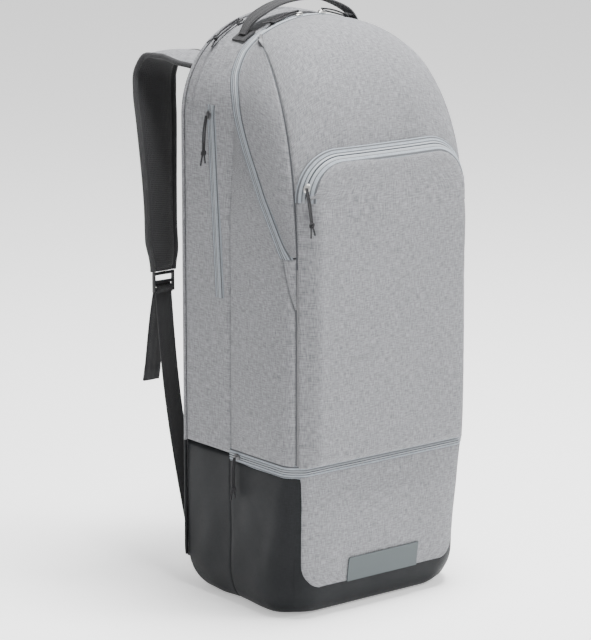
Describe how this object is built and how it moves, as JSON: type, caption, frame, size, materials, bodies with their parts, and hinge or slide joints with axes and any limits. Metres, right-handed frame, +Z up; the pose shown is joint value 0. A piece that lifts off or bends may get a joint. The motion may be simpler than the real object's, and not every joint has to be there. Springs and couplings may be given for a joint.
{
  "type": "racket backpack",
  "caption": "Upright fabric racket backpack with a zipped fold-down front, front pocket, shoe compartment, side and rear zips, top handle and padded shoulder straps.",
  "frame": {"origin": "middle of the standing face under the base", "axes": "+Z up, +Y towards the wearer's back and the shoulder straps, +X to the right seen from the pocket side"},
  "size_m": [0.3037, 0.359, 0.7435],
  "materials": {
    "melange_canvas": "heathered woven polyester, matt",
    "coated_fabric": "coated fabric with a soft sheen",
    "lining_fabric": "plain woven lining, matt",
    "zip_tape": "woven zip tape with coil teeth",
    "slider_metal": "satin silver",
    "pull_cord": "braided cord, matt",
    "black_webbing": "ribbed woven webbing",
    "spacer_mesh": "padded knitted mesh, matt",
    "lock_plastic": "moulded, matt",
    "label_patch": "smooth matt patch"
  },
  "bodies": {
    "pack": {"back_binding": "melange_canvas", "back_pad": "spacer_mesh", "back_panel": "spacer_mesh", "base_gusset_left": "coated_fabric", "base_gusset_right": "coated_fabric", "base_panel": "coated_fabric", "front_wall": "lining_fabric", "gusset_left": "melange_canvas", "gusset_right": "melange_canvas", "handle_tab_left": "black_webbing", "handle_tab_right": "black_webbing", "main_zip_rear_tape": "zip_tape", "pocket_cover_lower": "melange_canvas", "rear_divider": "lining_fabric", "rear_zip_tape": "zip_tape", "shoe_divider": "lining_fabric", "shoe_side_left": "coated_fabric", "shoe_side_right": "coated_fabric", "shoe_zip_side_left": "zip_tape", "shoe_zip_side_right": "zip_tape", "shoe_zip_upper_tape": "zip_tape", "side_panel_left": "melange_canvas", "side_panel_right": "melange_canvas", "side_pocket_bag": "lining_fabric", "side_zip_tape": "zip_tape", "strap_tab_left": "melange_canvas", "strap_tab_right": "melange_canvas", "top_panel": "melange_canvas"},
    "flap": {"flap_panel": "melange_canvas", "flap_side_left": "melange_canvas", "flap_side_right": "melange_canvas", "main_zip_flap_tape": "zip_tape", "pocket_cover_middle": "melange_canvas", "pocket_zip_flap_tape": "zip_tape"},
    "pocket_top": {"pocket_cover_top": "melange_canvas", "pocket_zip_cover_tape": "zip_tape"},
    "shoe_front": {"shoe_cover": "melange_canvas", "shoe_zip_cover_tape": "zip_tape", "label_patch": "label_patch"},
    "main_slider_left": {"main_slider_left": "slider_metal"},
    "main_slider_right": {"main_slider_right": "slider_metal"},
    "main_pull_left": {"main_pull_left": "pull_cord"},
    "main_pull_right": {"main_pull_right": "pull_cord"},
    "pocket_slider": {"pocket_slider": "slider_metal"},
    "pocket_pull": {"pocket_pull": "pull_cord"},
    "side_slider": {"side_slider": "slider_metal"},
    "side_pull": {"side_pull": "pull_cord"},
    "shoe_slider": {"shoe_slider": "slider_metal"},
    "shoe_pull": {"shoe_pull": "pull_cord"},
    "rear_slider": {"rear_slider": "slider_metal"},
    "rear_pull": {"rear_pull": "pull_cord"},
    "handle": {"top_handle": "black_webbing"},
    "strap_left": {"shoulder_strap_left": "spacer_mesh"},
    "strap_right": {"shoulder_strap_right": "spacer_mesh"},
    "lock_left": {"ladder_lock_left": "lock_plastic"},
    "lock_right": {"ladder_lock_right": "lock_plastic"},
    "tail_left": {"strap_tail_left": "black_webbing"},
    "tail_right": {"strap_tail_right": "black_webbing"},
    "webbing_left": {"strap_webbing_left": "black_webbing"},
    "webbing_right": {"strap_webbing_right": "black_webbing"}
  },
  "joints": [
    {"name": "flap_fold", "type": "hinge", "parent": "pack", "child": "flap", "pos_m": [0, -0.1314, 0.44], "axis": [1, 0, 0], "range_deg": [0, 80]},
    {"name": "pocket_fold", "type": "hinge", "parent": "flap", "child": "pocket_top", "pos_m": [0, -0.1314, 0.5], "axis": [1, 0, 0], "range_deg": [0, 70]},
    {"name": "shoe_fold", "type": "hinge", "parent": "pack", "child": "shoe_front", "pos_m": [0, -0.117, 0.0365], "axis": [1, 0, 0], "range_deg": [0, 25]},
    {"name": "main_slider_left_run", "type": "hinge", "parent": "flap", "child": "main_slider_left", "pos_m": [0, 0.03, 0.542], "axis": [0, -1, 0], "range_deg": [0, 17]},
    {"name": "main_slider_right_run", "type": "hinge", "parent": "flap", "child": "main_slider_right", "pos_m": [0, 0.03, 0.542], "axis": [0, 1, 0], "range_deg": [0, 17]},
    {"name": "main_pull_left_lift", "type": "hinge", "parent": "main_slider_left", "child": "main_pull_left", "pos_m": [-0.01818, 0.03, 0.72697], "axis": [0, 1, 0], "range_deg": [0, 120]},
    {"name": "main_pull_right_lift", "type": "hinge", "parent": "main_slider_right", "child": "main_pull_right", "pos_m": [0.01818, 0.03, 0.72697], "axis": [0, -1, 0], "range_deg": [0, 120]},
    {"name": "pocket_slider_run", "type": "hinge", "parent": "pocket_top", "child": "pocket_slider", "pos_m": [-0.0725, -0.11566, 0.52], "axis": [0, 1, 0], "range_deg": [0, 66]},
    {"name": "pocket_pull_swing", "type": "hinge", "parent": "pocket_slider", "child": "pocket_pull", "pos_m": [-0.12559, -0.11924, 0.53997], "axis": [-1, 0, 0], "range_deg": [0, 90]},
    {"name": "side_slider_run", "type": "slide", "parent": "pack", "child": "side_slider", "axis": [0, -0.0676, -0.9977], "range_m": [0, 0.215]},
    {"name": "side_pull_swing", "type": "hinge", "parent": "side_slider", "child": "side_pull", "pos_m": [-0.15027, 0.0442, 0.609], "axis": [0, 1, 0], "range_deg": [0, 90]},
    {"name": "shoe_slider_run", "type": "slide", "parent": "pack", "child": "shoe_slider", "axis": [0, -1, 0], "range_m": [0, 0.08]},
    {"name": "shoe_pull_swing", "type": "hinge", "parent": "shoe_slider", "child": "shoe_pull", "pos_m": [-0.14776, -0.006, 0.19], "axis": [0, 1, 0], "range_deg": [0, 90]},
    {"name": "rear_slider_run", "type": "hinge", "parent": "pack", "child": "rear_slider", "pos_m": [0, 0.082, 0.542], "axis": [0, 1, 0], "range_deg": [0, 43]},
    {"name": "rear_pull_lift", "type": "hinge", "parent": "rear_slider", "child": "rear_pull", "pos_m": [-0.06983, 0.082, 0.71683], "axis": [0, 1, 0], "range_deg": [0, 120]},
    {"name": "handle_tilt", "type": "hinge", "parent": "pack", "child": "handle", "pos_m": [0, 0.05, 0.70244], "axis": [1, 0, 0], "range_deg": [-20, 20]},
    {"name": "strap_left_swing", "type": "hinge", "parent": "pack", "child": "strap_left", "pos_m": [0, 0.112, 0.645], "axis": [1, 0, 0], "range_deg": [0, 12]},
    {"name": "lock_left_tilt", "type": "hinge", "parent": "strap_left", "child": "lock_left", "pos_m": [-0.124, 0.172, 0.3923], "axis": [1, 0, 0], "range_deg": [0, 12]},
    {"name": "tail_left_swing", "type": "hinge", "parent": "lock_left", "child": "tail_left", "pos_m": [-0.124, 0.1759, 0.3708], "axis": [1, 0, 0], "range_deg": [-8, 20]},
    {"name": "webbing_left_swing", "type": "hinge", "parent": "pack", "child": "webbing_left", "pos_m": [-0.1275, 0.1088, 0.082], "axis": [1, 0, 0], "range_deg": [-12, 0]},
    {"name": "strap_right_swing", "type": "hinge", "parent": "pack", "child": "strap_right", "pos_m": [0, 0.112, 0.645], "axis": [1, 0, 0], "range_deg": [0, 12]},
    {"name": "lock_right_tilt", "type": "hinge", "parent": "strap_right", "child": "lock_right", "pos_m": [0.124, 0.172, 0.3923], "axis": [1, 0, 0], "range_deg": [0, 12]},
    {"name": "tail_right_swing", "type": "hinge", "parent": "lock_right", "child": "tail_right", "pos_m": [0.124, 0.1759, 0.3708], "axis": [1, 0, 0], "range_deg": [-8, 20]},
    {"name": "webbing_right_swing", "type": "hinge", "parent": "pack", "child": "webbing_right", "pos_m": [0.1275, 0.1088, 0.082], "axis": [1, 0, 0], "range_deg": [-12, 0]}
  ],
  "couplings": [
    {"joint": "main_slider_left_run", "follows": "flap_fold", "ratio": 0.2125},
    {"joint": "main_slider_right_run", "follows": "flap_fold", "ratio": 0.2125},
    {"joint": "pocket_slider_run", "follows": "pocket_fold", "ratio": 0.94},
    {"joint": "shoe_slider_run", "follows": "shoe_fold", "m_per_rad": 0.183},
    {"joint": "webbing_left_swing", "follows": "strap_left_swing", "ratio": -0.97},
    {"joint": "webbing_right_swing", "follows": "strap_right_swing", "ratio": -0.97}
  ]
}
